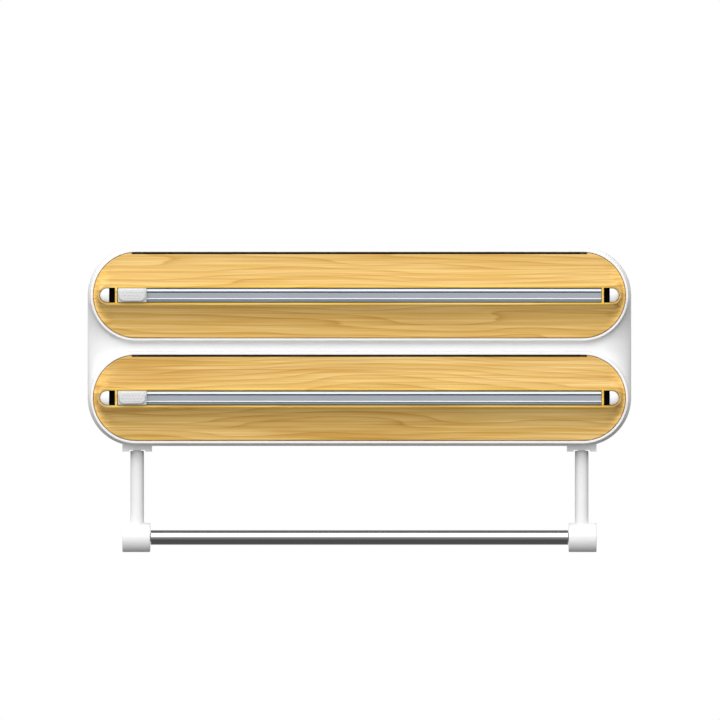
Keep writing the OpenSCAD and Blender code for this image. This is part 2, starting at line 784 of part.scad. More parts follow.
module bar_end_plugs() color("dimgray") stand_up() both_sides() {
    rod_x(bar_y, bar_depth, bar_d / 2 - bar_wall - touch, bar_half - plug_len, bar_half);
    rod_x(bar_y, bar_depth, stub_r, bar_half - over, bar_half + stub_len);
}

module upper_cover() at_bay(1) cover();
module upper_cutter_rail() at_bay(1) cutter_rail();
module upper_rail_screws() at_bay(1) rail_screws();
module upper_slider_base() at_bay(1) slider_base();
module upper_slider_pad() at_bay(1) slider_pad();
module upper_slider_blade() at_bay(1) slider_blade();
module upper_latch_slide_left() at_bay(1) on_side(-1) latch_slide();
module upper_latch_slide_right() at_bay(1) on_side(1) latch_slide();
module upper_latch_cap_left() at_bay(1) on_side(-1) latch_cap();
module upper_latch_cap_right() at_bay(1) on_side(1) latch_cap();
module upper_latch_spring_left() at_bay(1) on_side(-1) latch_spring();
module upper_latch_spring_right() at_bay(1) on_side(1) latch_spring();
module upper_latch_retainers() at_bay(1) latch_retainers();
module upper_retainer_screws() at_bay(1) retainer_screws();
module upper_latch_keepers() at_bay(1) latch_keepers();
module upper_roller_front() at_bay(1) roller(1);
module upper_roller_rear() at_bay(1) roller(-1);
module lower_cover() at_bay(-1) cover();
module lower_cutter_rail() at_bay(-1) cutter_rail();
module lower_rail_screws() at_bay(-1) rail_screws();
module lower_slider_base() at_bay(-1) slider_base();
module lower_slider_pad() at_bay(-1) slider_pad();
module lower_slider_blade() at_bay(-1) slider_blade();
module lower_latch_slide_left() at_bay(-1) on_side(-1) latch_slide();
module lower_latch_slide_right() at_bay(-1) on_side(1) latch_slide();
module lower_latch_cap_left() at_bay(-1) on_side(-1) latch_cap();
module lower_latch_cap_right() at_bay(-1) on_side(1) latch_cap();
module lower_latch_spring_left() at_bay(-1) on_side(-1) latch_spring();
module lower_latch_spring_right() at_bay(-1) on_side(1) latch_spring();
module lower_latch_retainers() at_bay(-1) latch_retainers();
module lower_retainer_screws() at_bay(-1) retainer_screws();
module lower_latch_keepers() at_bay(-1) latch_keepers();
module lower_roller_front() at_bay(-1) roller(1);
module lower_roller_rear() at_bay(-1) roller(-1);
module bracket_left() stand_up() on_side(-1) bracket();
module bracket_right() stand_up() on_side(1) bracket();
module arm_left() stand_up() on_side(-1) arm();
module arm_right() stand_up() on_side(1) arm();

housing();
back_plate();
back_plate_screws();
upper_cover();
upper_cutter_rail();
upper_rail_screws();
upper_slider_base();
upper_slider_pad();
upper_slider_blade();
upper_latch_slide_left();
upper_latch_slide_right();
upper_latch_cap_left();
upper_latch_cap_right();
upper_latch_spring_left();
upper_latch_spring_right();
upper_latch_retainers();
upper_retainer_screws();
upper_latch_keepers();
upper_roller_front();
upper_roller_rear();
lower_cover();
lower_cutter_rail();
lower_rail_screws();
lower_slider_base();
lower_slider_pad();
lower_slider_blade();
lower_latch_slide_left();
lower_latch_slide_right();
lower_latch_cap_left();
lower_latch_cap_right();
lower_latch_spring_left();
lower_latch_spring_right();
lower_latch_retainers();
lower_retainer_screws();
lower_latch_keepers();
lower_roller_front();
lower_roller_rear();
bracket_left();
bracket_right();
bracket_screws();
arm_pivot_pins();
arm_left();
arm_right();
paper_bar();
bar_end_plugs();
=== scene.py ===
import json
import math
from itertools import takewhile

import bmesh
import bpy
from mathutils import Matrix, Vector


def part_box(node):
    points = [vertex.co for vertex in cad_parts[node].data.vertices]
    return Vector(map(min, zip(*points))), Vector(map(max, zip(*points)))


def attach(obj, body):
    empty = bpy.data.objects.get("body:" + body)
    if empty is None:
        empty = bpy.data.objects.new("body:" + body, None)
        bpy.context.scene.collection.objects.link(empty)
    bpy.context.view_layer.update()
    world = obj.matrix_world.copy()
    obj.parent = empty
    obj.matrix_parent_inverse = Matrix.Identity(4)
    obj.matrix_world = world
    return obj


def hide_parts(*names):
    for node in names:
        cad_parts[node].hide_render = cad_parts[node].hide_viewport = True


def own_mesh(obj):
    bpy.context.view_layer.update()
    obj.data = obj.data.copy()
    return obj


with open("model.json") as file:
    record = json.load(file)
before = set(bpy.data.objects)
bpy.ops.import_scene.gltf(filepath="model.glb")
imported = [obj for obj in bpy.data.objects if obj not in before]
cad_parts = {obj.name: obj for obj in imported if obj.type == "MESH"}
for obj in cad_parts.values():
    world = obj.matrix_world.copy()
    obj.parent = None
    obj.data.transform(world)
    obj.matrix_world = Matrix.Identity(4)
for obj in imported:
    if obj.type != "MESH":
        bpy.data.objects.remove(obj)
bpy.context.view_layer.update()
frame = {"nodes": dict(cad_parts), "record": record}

# Sizes are in millimetres, and places are (x to the right, up, out from the wall)
MM = 0.001
BAYS = {"upper": 1, "lower": -1}
SIDES = {"left": -1, "right": 1}
SHARP_DEGREES = 32


def wall(x, up, out):
    """A point given on the wall, in metres in the model's frame."""
    return Vector((x * MM, -out * MM, up * MM))


def span(node):
    """A node's box: its lowest and highest (x, up, out)."""
    low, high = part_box(node)
    return (low.x / MM, low.z / MM, -high.y / MM), (high.x / MM, high.z / MM, -low.y / MM)


# Sizes read from the frame, in the upper bay and on the right side
shell_high = span("housing")[1]
cover_low, cover_high = span("upper_cover")
rail_low, rail_high = span("upper_cutter_rail")
base_low, base_high = span("upper_slider_base")
pad_low, pad_high = span("upper_slider_pad")
cap_low, cap_high = span("upper_latch_cap_right")
slide_in = span("upper_latch_slide_right")[0][0]
spring_low, spring_high = span("upper_latch_spring_right")
retainer_front = span("upper_latch_retainers")[1][2]
arm_low, arm_high = span("arm_right")
bar_low, bar_high = span("paper_bar")
plate_t = span("back_plate")[1][2]

bay_up = (cover_low[1] + cover_high[1]) / 2
cover_half = cover_high[0]
cover_r = (cover_high[1] - cover_low[1]) / 2
lip_out = cover_high[2]
rim_out = shell_high[2]

# Shell
cover_gap = 0.4
opening_play = 0.3
opening_r = cover_r + cover_gap + opening_play
rim_w = 1.75
rim_rise = 5
rim_round = 0.5
inner_round = 0.2
pod_r = opening_r + rim_w
pod_draft = 0.5
shell_r = shell_high[1] - bay_up
shell_run = cover_half - cover_r
side_half = shell_run + shell_r
shoulder_out = rim_out - rim_rise
shoulder_drop = 13
side_soft = 21
top_soft = shell_r - pod_r - pod_draft
soft_margin = 2
valley_fillet = 1.8
plate_lip = 1.9
back_round = 0.6
ring_step = 12
longest_ray = 80
weld_gap = 0.002

# Inside of the bays
bay_front = rim_out - 10
partition_in = shell_run - 2.2
partition_t = 3.5
partition_round = 0.5
peg_x, peg_up = 161, 16.5
peg_r = 2
peg_back = bay_front - 12
peg_root = rim_out + 0.4
peg_tip_w, peg_tip_l = 0.6, 0.8
peg_play = 0.06
peg_room = 1
peg_socket_r = 4
peg_socket_floor = 2
peg_socket_edge = 0.4
keeper_in, keeper_out = cover_half - 0.8, cover_half + 2
keeper_back, keeper_front = rim_out - 19.5, rim_out - 7
keeper_half_h = 6
keeper_round = 0.3

# Cover
end_trim = 0.35
run = shell_run - end_trim
cover_edge = 0.8
cover_fit = 0.4
cover_wall = 2.2
cover_back = rim_out - 5
lip_round = 0.4
nose_end = cover_half - 2.95
nose_r = 6.8
cove_power = 2.4
cove_rise = lip_out - rim_out - lip_round
inner_share = 0.84
core_back = lip_out - 9
core_margin = 0.3
core_rise = 0.4
channel_r = 5.25
channel_play = 0.3
rail_pocket = rail_high[0] + channel_play
bridge_w = 1.5
end_wall = 1.3
pocket_in = rail_pocket + bridge_w
pocket_out = nose_end - end_wall
film_slot_half = 159
film_slot_h = 1.2
cut_past = 2

# Latches, with their rooms, screw bosses and spring stops behind the cover
latch_travel = 3.4
slide_play = 0.3
slide_room_out = cover_half - 2.9
slide_room_back = cover_back - 3
slide_room_half_h = 6.5
boss_x, boss_up = slide_in + 2, 9.5
boss_r = 2.6
boss_root = rim_out + 2.4
stop_t = 2
stop_half_h = 3
stop_root = core_back + 1
stop_round = 0.2
dome_start = lip_out - 1.1
dome_tip = 0.03
spring_wire = 0.2
spring_turns = 6

# Cutter rail: a profile's point is (up, out, material of the face that follows)
# Rail materials by index: its own blue-grey, a painted highlight and painted shade
FACE, HIGHLIGHT, SHADE = 0, 1, 2
rail_half_h = (rail_high[1] - rail_low[1]) / 2
rail_seat, rail_lip = rail_low[2], rail_high[2]
rail_face = rail_lip - 0.5
rail_edge = 0.15
rail_end_edge = 0.2
blade_slot_low, blade_slot_high = 1.8, 2.6
blade_room_low, blade_room_high = 0.5, 3.9
blade_room_floor, blade_room_ceiling = rail_seat + 1.4, rail_seat + 3.4
foot_edge = 0.3
foot_out = rail_face - 0.9
# The rail's upper edge: painted shade in the gap over it, then the lip's painted highlight
shoulder_steps = [(0.0, 0.9, SHADE), (0.25, 0.3, SHADE), (0.5, 0.0, HIGHLIGHT)]
# The bead: a painted highlight on its upper side and painted shade under it
bead_steps = [
    (-2.0, 0.0, FACE), (-2.15, 0.2, HIGHLIGHT), (-2.5, 0.3, HIGHLIGHT), (-2.85, 0.15, SHADE), (-3.05, -0.4, SHADE),
]
bead_foot_up = -3.2

# Slider
slider_play = 0.2
slider_round = 0.35
keel_share = 0.31
keel_play = 0.05
keel_sink = 0.5
keel_round = 0.1
pad_fit = 0.4
pad_top_r, pad_foot_r = 3.2, 3.6
pad_edge = 0.7
dot_r, dot_rise, dot_sink = 0.48, 0.3, 0.02
dot_pitch = 2.2
dot_margin = 1.8
dot_row_reach, dot_column_reach = 1, 4

# Arms and bar
bar_up = (bar_low[1] + bar_high[1]) / 2
bar_out = (bar_low[2] + bar_high[2]) / 2
bar_r = (bar_high[1] - bar_low[1]) / 2
bar_wall = 0.6
bar_rim = 0.15
socket_shift = 0.6
socket_round = 0.7
stub_hole_r = 3.6
stub_hole_depth = 6.8
axis_r = 0.05
post_r = 4.75
post_foot = bar_up + 4
post_edge = 0.4
eye_r = 2.6
eye_round = 0.2
pivot_up = arm_high[1] - eye_r
post_top = pivot_up - 2.2
neck_sink = 1
neck_inset = 0.3

# Steps in curves
END_STEPS = 40
STRAIGHT_STEPS = 8
EDGE_STEPS = 5
LIP_STEPS = 6
COVE_STEPS = 44
INNER_STEPS = 10
POCKET_STEPS = 28
CAP_STEPS = 24
DOME_STEPS = 10
PAD_CORNER_STEPS = 8
COIL_STEPS = 24
WIRE_STEPS = 10
VALLEY_RAYS = 24
END_RAYS = 46
STRAIGHT_RAYS = 24
FRONT_STEPS = 18
DRAFT_STEPS = 3
HALVINGS = 50

# Wood: noise is scaled per metre along (x, out, up), and each layer's colours are multiplied
rings_per_metre = 190
swell_scale, swell_rings = (3.4, 10, 26), 13
waver_scale, waver_rings = (8, 40, 150), 0.8
streak_scale = (6, 160, 520)
thread_scale = (11, 300, 950)
fibre_scale = (16, 700, 1700)
patch_scale = (7, 60, 110)
PLAIN = (1.0, 1.0, 1.0)
wood_mean = (0.7, 0.42, 0.14)
early_wood, late_wood = (0.725, 0.484, 0.162), (0.575, 0.344, 0.091)
ring_stops = [
    (0.0, early_wood), (0.45, (0.695, 0.459, 0.15)), (0.8, (0.652, 0.415, 0.126)), (0.94, late_wood),
    (1.0, early_wood),
]
streak_stops = [(0.36, (0.94, 0.89, 0.74)), (0.64, (1.03, 1.05, 1.15))]
thread_stops = [(0.36, (0.925, 0.865, 0.68)), (0.64, (1.05, 1.09, 1.25))]
fibre_stops = [(0.25, (0.88, 0.86, 0.82)), (0.75, (1.06, 1.06, 1.06))]
patch_dark, patch_pale = (0.09, 0.13, 0.21), (0.05, 0.08, 0.17)
# Painted shade: the wood's colour is multiplied from the cover's outer edge, 0, to just under the lip, 1, so
# it darkens towards the nose
cove_shade_stops = [(0.0, 1.06), (0.35, 1.0), (1.0, 0.94)]
cove_top = lip_out - 1
# A painted highlight on the nose's lip, faded out towards the nose's ends, and painted light on the wood at
# the cover's ends beside the lip
lip_highlight, end_light = (1.32, 1.36, 1.0), (1.28, 1.28, 1.25)
lip_highlight_from, lip_highlight_to = lip_out - 0.5, lip_out - 0.1
lip_fade_from, lip_fade_to = nose_end - 4, nose_end - 11
end_light_from, end_light_to = nose_end - 9, nose_end - 1

# Plastic and metal
plastic_grain = 1800
plastic_drift = 22
gloss_play = 0.05
brushed_scale = (40, 2600, 2600)

# Stage, light and camera: the photo's scale and centre in millimetres, places and lamps in metres
photo_px = 720
px_mm = 0.6985
photo_centre_x, photo_centre_up = 0.4, -9.4
camera_distance = 20.0
camera_clip = 50
sensor_mm = 36
floor_r = 0.9
floor_z = -0.75
# Sky by angle in degrees: 0 is the horizon in front, 90 straight up, 180 the horizon behind
sky_levels = [
    (-180, 0.25), (-150, 0.18), (-120, 0.055), (-43, 0.05), (-27, 0.09), (-7, 0.16), (6, 0.28), (13, 1.0),
    (98, 1.0), (104, 0.05), (130, 0.055), (145, 0.25), (180, 0.25),
]
sky_strength = 2.0
sky_lean, sky_fall = -0.2, -0.8
# Lamps: name, place, target, size, watts, and whether reflections show it
LAMPS = [
    ("soft_box", (-0.2, -1.65, 1.08), (0, 0, 0), (2.6, 0.85), 11, True),
    ("fill", (0, -1.8, -0.85), (0, 0, -0.05), (2.4, 0.8), 10, False),
    ("left_light", (-1.3, 0.5, 1.0), (0, 0, 0), (1.0, 0.8), 9, False),
    ("right_light", (1.3, 0.5, 1.0), (0, 0, 0), (1.0, 0.8), 5, False),
    ("back_light", (0.4, 1.9, 0.9), (0, 0, 0), (2.4, 1.2), 16, False),
]


# Pieces and forms
def shade_smooth(bm, sharp):
    """Shades all faces smooth, with edges sharp from an angle in degrees."""
    for face in bm.faces:
        face.smooth = True
    for edge in bm.edges:
        edge.smooth = edge.calc_face_angle(0) < math.radians(sharp)


def new_piece(name, bm, materials, body, replaced=(), sharp=SHARP_DEGREES):
    """Makes a piece from a bmesh and rides it on a body. A cutting shape or the floor has no body."""
    bmesh.ops.recalc_face_normals(bm, faces=bm.faces)
    shade_smooth(bm, sharp)
    mesh = bpy.data.meshes.new(name)
    bm.to_mesh(mesh)
    bm.free()
    piece = bpy.data.objects.new(name, mesh)
    bpy.context.scene.collection.objects.link(piece)
    for material in materials:
        mesh.materials.append(material)
    if body:
        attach(piece, body)
    if replaced:
        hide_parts(*replaced)
    return piece


def add_rings(bm, rings, closed=True, first_cap=False, last_cap=False, slot_of=None):
    """Adds a skin over rings of as many points each, and returns its rows of vertices."""
    rows = [[bm.verts.new(p) for p in ring] for ring in rings]
    count = len(rows[0])
    for k in range(len(rows) - 1):
        for i in range(count if closed else count - 1):
            j = (i + 1) % count
            face = bm.faces.new((rows[k][i], rows[k][j], rows[k + 1][j], rows[k + 1][i]))
            face.material_index = slot_of(k, i) if slot_of else 0
    if first_cap:
        bm.faces.new(rows[0])
    if last_cap:
        bm.faces.new(rows[-1])
    return rows


def add_box(bm, low, high, bevel=0.0, segments=2):
    """Adds a box between two corners on the wall, with its edges rounded."""
    outs, ups, xs = (low[2], high[2]), (low[1], high[1]), (low[0], high[0])
    verts = [bm.verts.new(wall(x, up, out)) for out in outs for up in ups for x in xs]
    quads = ((0, 1, 3, 2), (4, 6, 7, 5), (0, 4, 5, 1), (2, 3, 7, 6), (0, 2, 6, 4), (1, 5, 7, 3))
    faces = [bm.faces.new([verts[i] for i in quad]) for quad in quads]
    if bevel:
        edges = {edge for face in faces for edge in face.edges}
        bmesh.ops.bevel(
            bm, geom=list(edges), offset=bevel * MM, segments=segments, profile=0.5, affect="EDGES")


def add_turned(bm, profile, centre, axis, steps=64, closed=False):
    """Adds a turned form: profile is a list of (place along the axis, radius) pairs."""
    rings = []
    for along, r in profile:
        ring = []
        for i in range(steps):
            a = 2 * math.pi * i / steps
            c, s = r * math.cos(a), r * math.sin(a)
            offset = {"x": (along, c, s), "up": (c, along, s), "out": (c, s, along)}[axis]
            ring.append(wall(*(centre[k] + offset[k] for k in range(3))))
        rings.append(ring)
    if closed:
        rings.append(rings[0])
    rows = add_rings(bm, rings, first_cap=not closed, last_cap=not closed)
    if closed:
        bmesh.ops.remove_doubles(bm, verts=rows[0] + rows[-1], dist=MM * 1e-4)


def quarter(steps):
    """Angles of a quarter turn in even steps."""
    return [math.pi / 2 * k / steps for k in range(steps + 1)]


def rounded(low, high, r, round_by):
    """Profile of a solid disc from low to high along its axis, with rounded rims."""
    arcs = quarter(EDGE_STEPS)
    start = [(low + round_by * (1 - math.sin(a)), r - round_by * (1 - math.cos(a))) for a in reversed(arcs)]
    end = [(high - round_by * (1 - math.sin(a)), r - round_by * (1 - math.cos(a))) for a in arcs]
    return start + end


def half_round(centre, r, steps):
    """Points (x, up) of a half circle on the right of a centre, from its foot to its top."""
    angles = [math.pi * (k / steps - 0.5) for k in range(steps + 1)]
    return [(centre + r * math.cos(a), r * math.sin(a)) for a in angles]


def stadium(half_len, r):
    """Points (x, up) round a shape with straight sides and full-round ends."""
    points = []
    for side in (1, -1):
        for i in range(END_STEPS + 1):
            a = math.pi * i / END_STEPS - side * math.pi / 2
            points.append((side * (half_len - r) + r * math.cos(a), r * math.sin(a)))
        end = points[-1]
        for i in range(1, STRAIGHT_STEPS):
            points.append((end[0] * (1 - 2 * i / STRAIGHT_STEPS), end[1]))
    return points


# Materials
def new_material(name, color, roughness, **sockets):
    """A material with its shader's own sockets set. Returns the material and its shader."""
    material = bpy.data.materials.new(name)
    material.use_nodes = True
    shader = material.node_tree.nodes["Principled BSDF"]
    shader.inputs["Base Color"].default_value = (*color, 1)
    shader.inputs["Roughness"].default_value = roughness
    for socket, value in sockets.items():
        shader.inputs[socket.replace("_", " ")].default_value = value
    return material, shader


class Nodes:
    """Adds and links shader nodes of one material or world."""

    def __init__(self, owner):
        self.tree = owner.node_tree

    def add(self, kind, inputs=None, **settings):
        """A node of a kind, with its settings and its inputs."""
        node = self.tree.nodes.new(kind)
        for key, value in settings.items():
            setattr(node, key, value)
        for key, value in (inputs or {}).items():
            self.put(node.inputs[key], value)
        return node

    def put(self, socket, value):
        """Links a socket's value, or sets a constant."""
        if isinstance(value, bpy.types.NodeSocket):
            self.tree.links.new(value, socket)
        else:
            socket.default_value = value

    def math(self, operation, *values):
        return self.add("ShaderNodeMath", dict(enumerate(values)), operation=operation).outputs[0]

    def noise(self, vector, scale, detail=2.0, roughness=0.5):
        inputs = {"Vector": vector, "Scale": scale, "Detail": detail, "Roughness": roughness}
        return self.add("ShaderNodeTexNoise", inputs).outputs["Fac"]

    def stretched(self, scale, offset=(0, 0, 0)):
        """The piece's own coordinates in metres, scaled."""
        place = self.add("ShaderNodeTexCoord").outputs["Object"]
        inputs = {"Vector": place, "Scale": scale, "Location": offset}
        return self.add("ShaderNodeMapping", inputs).outputs[0]

    def ramp(self, value, stops):
        """Colours at places from 0 to 1."""
        node = self.add("ShaderNodeValToRGB", {"Fac": value})
        elements = node.color_ramp.elements
        while len(elements) < len(stops):
            elements.new(0.5)
        for element, (place, color) in zip(elements, stops):
            element.position = place
            element.color = (*color, 1)
        return node.outputs["Color"]

    def drift(self, value, shade, color):
        """A noise as a drift between two colours."""
        return self.ramp(value, [(0.3, shade), (0.7, color)])

    def between(self, value, low, high):
        """0 at low, 1 at high, and straight between them."""
        inputs = {"Value": value, "From Min": low, "From Max": high}
        return self.add("ShaderNodeMapRange", inputs).outputs["Result"]

    def remap(self, value, low, high):
        """0 to 1 as low to high."""
        inputs = {"Value": value, "To Min": low, "To Max": high}
        return self.add("ShaderNodeMapRange", inputs).outputs["Result"]

    def product(self, first, *others):
        """Colours multiplied."""
        result = first
        for other in others:
            node = self.add("ShaderNodeMix", data_type="RGBA", blend_type="MULTIPLY")
            for socket, value in zip((node.inputs[0], node.inputs[6], node.inputs[7]), (1.0, result, other)):
                self.put(socket, value)
            result = node.outputs[2]
        return result

    def bump(self, height, strength, distance):
        inputs = {"Height": height, "Strength": strength, "Distance": distance}
        return self.add("ShaderNodeBump", inputs).outputs["Normal"]


def moulded(name, color, shade, roughness, **sockets):
    """Moulded plastic: a faint drift of colour, and a fine grain in the gloss and in the surface."""
    material, shader = new_material(name, color, roughness, **sockets)
    nodes = Nodes(material)
    broad = nodes.noise(nodes.stretched((1, 1, 1)), plastic_drift, detail=3)
    nodes.put(shader.inputs["Base Color"], nodes.drift(broad, shade, color))
    fine = nodes.noise(nodes.stretched((1, 1, 1)), plastic_grain, detail=2)
    nodes.put(shader.inputs["Roughness"], nodes.remap(fine, roughness - gloss_play, roughness + gloss_play))
    nodes.put(shader.inputs["Normal"], nodes.bump(fine, strength=0.02, distance=0.0002))
    return material


def metal(name, color, roughness, bump=0.02):
    """Metal with fine lines along x in its gloss."""
    material, shader = new_material(name, color, roughness, Metallic=1.0)
    nodes = Nodes(material)
    lines = nodes.noise(nodes.stretched(brushed_scale), 1.0, detail=3)
    nodes.put(shader.inputs["Roughness"], nodes.remap(lines, roughness * 0.75, roughness * 1.3))
    nodes.put(shader.inputs["Base Color"], nodes.drift(lines, tuple(0.92 * c for c in color), color))
    nodes.put(shader.inputs["Normal"], nodes.bump(lines, strength=bump, distance=0.0001))
    return material


def wood_grain(nodes, up, fibre, shift, patchy):
    """Growth rings as contours of a stretched field, under streaks, threads, fibres and broad patches."""
    def noise(scale, roughness):
        return nodes.noise(nodes.stretched(scale, shift), 1.0, detail=2.0, roughness=roughness)

    swell = nodes.math("MULTIPLY", noise(swell_scale, 0.45), swell_rings)
    waver = nodes.math("MULTIPLY", noise(waver_scale, 0.5), waver_rings)
    field = nodes.math("ADD", nodes.math("MULTIPLY", up, rings_per_metre), swell)
    rings = nodes.math("FRACT", nodes.math("ADD", field, waver))
    dark = tuple(1 - patchy * part for part in patch_dark)
    pale = tuple(1 + patchy * part for part in patch_pale)
    return nodes.product(
        nodes.ramp(rings, ring_stops),
        nodes.ramp(noise(streak_scale, 0.55), streak_stops),
        nodes.ramp(noise(thread_scale, 0.6), thread_stops),
        nodes.ramp(fibre, fibre_stops),
        nodes.ramp(noise(patch_scale, 0.55), [(0.32, dark), (0.5, PLAIN), (0.68, pale)]),
    )


def wood(name, shift, painted_light_level, patchy):
    """Honey wood along x, with painted shade that darkens it towards the nose, a painted highlight on the
    nose's lip and painted light at the cover's ends.
    """
    material, shader = new_material(name, wood_mean, 0.45, Specular_IOR_Level=0.15)
    nodes = Nodes(material)
    place = nodes.add("ShaderNodeTexCoord").outputs["Object"]
    parts = nodes.add("ShaderNodeSeparateXYZ", {"Vector": place}).outputs
    from_middle = nodes.math("ABSOLUTE", parts["X"])
    fibre = nodes.noise(nodes.stretched(fibre_scale, shift), 1.0, detail=3.0, roughness=0.6)
    grain = wood_grain(nodes, parts["Z"], fibre, shift, patchy)
    # Painted shade, darker towards the nose, and deeper on the lower cover
    cove = nodes.between(parts["Y"], -rim_out * MM, -cove_top * MM)
    cove_shade = nodes.ramp(cove, [(at, (shade * painted_light_level,) * 3) for at, shade in cove_shade_stops])
    # Painted highlight along the nose's lip
    lip = nodes.between(parts["Y"], -lip_highlight_from * MM, -lip_highlight_to * MM)
    along_lip = nodes.between(from_middle, lip_fade_from * MM, lip_fade_to * MM)
    painted_lip_highlight = nodes.ramp(nodes.math("MULTIPLY", lip, along_lip), [(0.0, PLAIN), (1.0, lip_highlight)])
    # Painted light at the cover's ends
    ends = nodes.between(from_middle, end_light_from * MM, end_light_to * MM)
    beside_lip = nodes.math("MULTIPLY", ends, nodes.math("SUBTRACT", 1.0, lip))
    painted_end_light = nodes.ramp(beside_lip, [(0.0, PLAIN), (1.0, end_light)])
    nodes.put(shader.inputs["Base Color"], nodes.product(grain, cove_shade, painted_end_light, painted_lip_highlight))
    nodes.put(shader.inputs["Roughness"], nodes.remap(fibre, 0.38, 0.52))
    nodes.put(shader.inputs["Normal"], nodes.bump(fibre, strength=0.05, distance=0.0002))
    return material


white_plastic = moulded("white_plastic", (0.82, 0.82, 0.82), (0.80, 0.80, 0.80), 0.32)
plate_plastic = moulded("plate_plastic", (0.78, 0.78, 0.78), (0.74, 0.74, 0.74), 0.5)
rail_plastic = moulded("rail_plastic", (0.325, 0.352, 0.39), (0.305, 0.332, 0.37), 0.4)
# Lit and shaded copies of the rail's plastic: a painted highlight for its lip and bead, and painted shade in
# its gaps, slot and underside
rail_highlight = moulded("rail_highlight", (0.84, 0.87, 0.92), (0.81, 0.84, 0.89), 0.3)
rail_shade = moulded("rail_shade", (0.23, 0.285, 0.345), (0.21, 0.265, 0.325), 0.5)
slider_plastic = moulded("slider_plastic", (0.62, 0.62, 0.62), (0.60, 0.60, 0.60), 0.45)
black_plastic = moulded(
    "black_plastic", (0.006, 0.006, 0.0065), (0.004, 0.004, 0.0045), 0.8, Specular_IOR_Level=0.1)
roller_plastic = moulded("roller_plastic", (0.8, 0.8, 0.79), (0.76, 0.76, 0.75), 0.45)
plug_plastic = moulded("plug_plastic", (0.05, 0.05, 0.052), (0.04, 0.04, 0.042), 0.45)
bar_steel = metal("bar_steel", (0.70, 0.70, 0.70), 0.08, bump=0.001)
zinc_steel = metal("zinc_steel", (0.62, 0.63, 0.64), 0.3)
blade_steel = metal("blade_steel", (0.66, 0.67, 0.69), 0.2)
spring_steel = metal("spring_steel", (0.42, 0.42, 0.44), 0.32)
# Each cover's wood, with the lower cover's painted shade deeper than the upper's
cover_wood = {
    "upper": wood("cover_wood_upper", (0.3, 0.1, 0.7), painted_light_level=0.965, patchy=0.3),
    "lower": wood("cover_wood_lower", (2.7, 1.3, 5.2), painted_light_level=0.93, patchy=1.7),
}

by_slot = {
    "white_shell": white_plastic, "plate_plastic": plate_plastic, "rail_plastic": rail_plastic,
    "slider_plastic": slider_plastic, "latch_black": black_plastic, "roller_plastic": roller_plastic,
    "plug_plastic": plug_plastic, "bar_steel": bar_steel, "zinc_steel": zinc_steel,
    "blade_steel": blade_steel, "spring_steel": spring_steel, "cover_wood": cover_wood["upper"],
}
for part in frame["record"]["subparts"]:
    node = frame["nodes"][part["node"]]
    node.data.materials.clear()
    node.data.materials.append(by_slot[part["material_slot"]])


# Housing
def edge_distance(x, up):
    """How far a point lies inside the shell's outline."""
    x, up = abs(x), abs(up)
    if up <= bay_up:
        return side_half - x
    if x <= shell_run:
        return shell_r - (up - bay_up)
    return shell_r - math.hypot(x - shell_run, up - bay_up)


def inward(x, up):
    """Direction (x, up) from the shell's outline to its inside, in the upper half."""
    step = 0.01
    under, over = max(0, up - step), up + step
    slope_x = (edge_distance(x + step, up) - edge_distance(x - step, up)) / (2 * step)
    slope_up = (edge_distance(x, over) - edge_distance(x, under)) / (over - under)
    return slope_x, slope_up


def smooth_step(value, low, high):
    """0 up to low, 1 from high, and a soft rise between them."""
    t = min(1, max(0, (value - low) / (high - low)))
    return t * t * (3 - 2 * t)


def front_height(x, up, from_pod):
    """How far out the shell's front lies: a fillet at the bay's foot and a soft outer edge."""
    near_bay = smooth_step(abs(up), soft_margin, bay_up - soft_margin)
    soft = side_soft + (top_soft - side_soft) * near_bay
    k = min(1, max(0, 1 - edge_distance(x, up) / soft))
    drop = shoulder_drop * (0.5 * k * k + 0.5 * (1 - math.sqrt(1 - k * k)))
    f = min(1, max(0, 1 - from_pod / valley_fillet))
    return shoulder_out - drop + valley_fillet * (1 - math.sqrt(1 - f * f))


def pod_rays():
    """Rays (x of the start, direction) round the upper bay's middle line, with one to each side's middle."""
    side_reach = side_half - run
    middle = math.atan2(-bay_up, side_reach)
    valley = [side_reach * math.sin(math.pi / 2 * i / VALLEY_RAYS) for i in range(VALLEY_RAYS)]
    arcs = [math.atan2(-bay_up, x) for x in valley]
    arcs += [middle + (math.pi / 2 - middle) * i / END_RAYS for i in range(END_RAYS + 1)]
    along = [run * (1 - 2 * i / STRAIGHT_RAYS) for i in range(1, STRAIGHT_RAYS)]
    rays = [(run, a) for a in arcs]
    rays += [(x, math.pi / 2) for x in along]
    rays += [(-run, math.pi - a) for a in reversed(arcs)]
    rays += [(-x, -math.pi / 2) for x in along]
    return [(x, math.cos(a), math.sin(a)) for x, a in rays]


def reach(x, up, dx, du):
    """Length of a ray to the outline or to the line between the bays, and if it ends on the outline."""
    tiny = 1e-6
    low, high = 0, longest_ray
    for _ in range(HALVINGS):
        mid = (low + high) / 2
        if edge_distance(x + mid * dx, up + mid * du) > 0:
            low = mid
        else:
            high = mid
    to_middle = -up / du if du < -tiny else math.inf
    return min(low, to_middle), low <= to_middle + tiny


def rim_profile():
    """A rim's section (radius, out), from the opening's back over the front to the foot."""
    arcs = quarter(EDGE_STEPS)
    front, foot = rim_out - rim_round, shoulder_out + valley_fillet
    section = [(opening_r, plate_t), (opening_r, rim_out - ring_step), (opening_r, rim_out - inner_round)]
    for a in arcs[1:]:
        r = opening_r + inner_round * (1 - math.cos(a))
        section.append((r, rim_out - inner_round * (1 - math.sin(a))))
    for a in arcs:
        section.append((pod_r - rim_round * (1 - math.sin(a)), rim_out - rim_round * (1 - math.cos(a))))
    for k in range(1, DRAFT_STEPS):
        section.append((pod_r + pod_draft * k / DRAFT_STEPS, front + (foot - front) * k / DRAFT_STEPS))
    return section


def side_profile():
    """The outer wall's section (inwards, out), from behind the front edge to the back plate."""
    section = [(0, shoulder_out - shoulder_drop - ring_step), (0, back_round)]
    for a in quarter(EDGE_STEPS)[1:]:
        section.append((back_round * (1 - math.cos(a)), back_round * (1 - math.sin(a))))
    return section + [(plate_lip, 0), (plate_lip, plate_t)]


